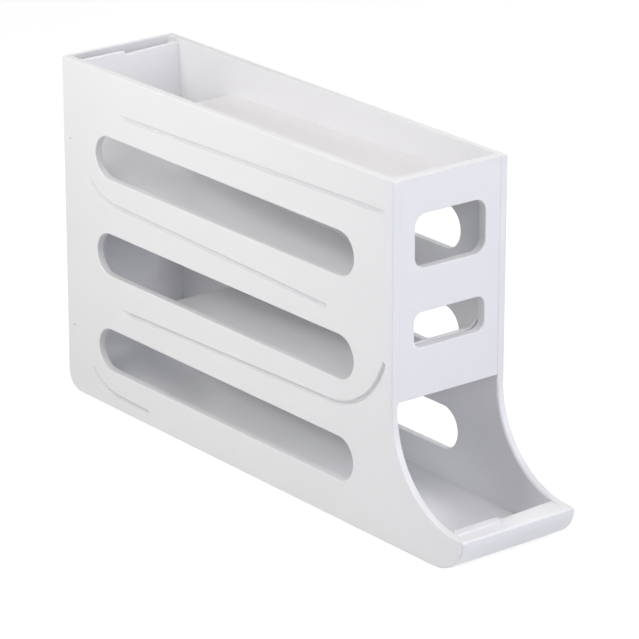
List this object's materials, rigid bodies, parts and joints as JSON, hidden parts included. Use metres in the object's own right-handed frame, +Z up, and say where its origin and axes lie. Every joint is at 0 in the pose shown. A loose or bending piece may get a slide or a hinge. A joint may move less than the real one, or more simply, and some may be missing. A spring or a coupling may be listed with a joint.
{
  "type": "rolling egg dispenser",
  "caption": "Tall narrow gravity-fed chute with a tray on top, sloping ramps that turn back on each other, slotted side panels, front windows and an open mouth with a curved lip.",
  "frame": {"origin": "on the resting plane, under the middle of the overall length and width", "axes": "+Z up, -Y towards the mouth and its lip, +X to the right as seen from behind the back panel and to the right of the front panel in a view from the front"},
  "size_m": [0.082, 0.3746, 0.2131],
  "materials": {
    "white_plastic": "smooth moulded white plastic with a satin shine",
    "foot_rubber": "soft matt pad"
  },
  "bodies": {
    "root": {"left_side_panel": "white_plastic", "right_side_panel": "white_plastic", "front_panel": "white_plastic", "back_panel": "white_plastic", "front_lip": "white_plastic", "top_ramp": "white_plastic", "second_ramp": "white_plastic", "third_ramp": "white_plastic", "bottom_ramp": "white_plastic", "foot_front_left": "foot_rubber", "foot_back_left": "foot_rubber", "foot_front_right": "foot_rubber", "foot_back_right": "foot_rubber"}
  },
  "joints": []
}
